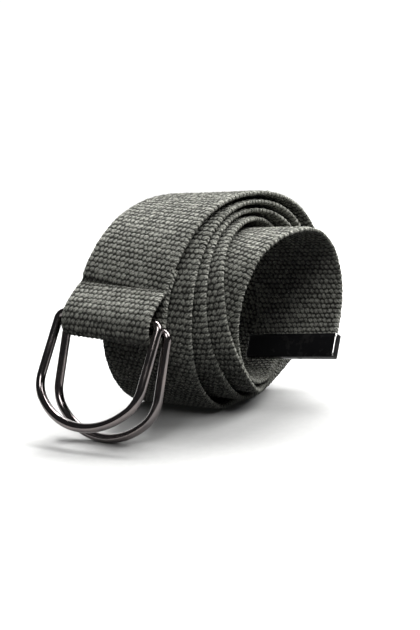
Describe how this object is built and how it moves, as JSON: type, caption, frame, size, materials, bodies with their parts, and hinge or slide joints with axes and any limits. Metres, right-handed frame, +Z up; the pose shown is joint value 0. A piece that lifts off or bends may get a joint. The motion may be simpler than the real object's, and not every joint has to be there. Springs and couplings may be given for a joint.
{
  "type": "ring belt",
  "caption": "Canvas webbing belt with a D-ring buckle and a metal tip, loosely rolled up and resting on its rolled edge.",
  "frame": {"origin": "on the surface the belt rests on, under the middle of the outermost turn", "axes": "+Z up, +X along the axis of the roll towards the side the tip stands out of, -Y towards the rings"},
  "size_m": [0.0803, 0.1124, 0.0803],
  "materials": {
    "webbing": "thick olive-grey canvas webbing, woven in raised rows",
    "gunmetal": "dark polished gunmetal plating",
    "black_metal": "smooth black face, bright worn edges"
  },
  "bodies": {
    "belt": {"strap": "webbing", "tip": "black_metal"},
    "ring_front": {"d_ring_front": "gunmetal"},
    "ring_rear": {"d_ring_rear": "gunmetal"}
  },
  "joints": [
    {"name": "front_ring_swing", "type": "hinge", "parent": "belt", "child": "ring_front", "pos_m": [-0.00228, -0.04839, 0.04163], "axis": [-0.9978, 0.0261, 0.061], "range_deg": [0, 150]},
    {"name": "rear_ring_swing", "type": "hinge", "parent": "belt", "child": "ring_rear", "pos_m": [-0.00081, -0.04613, 0.03844], "axis": [0.9978, -0.0261, -0.061], "range_deg": [0, 36]}
  ]
}
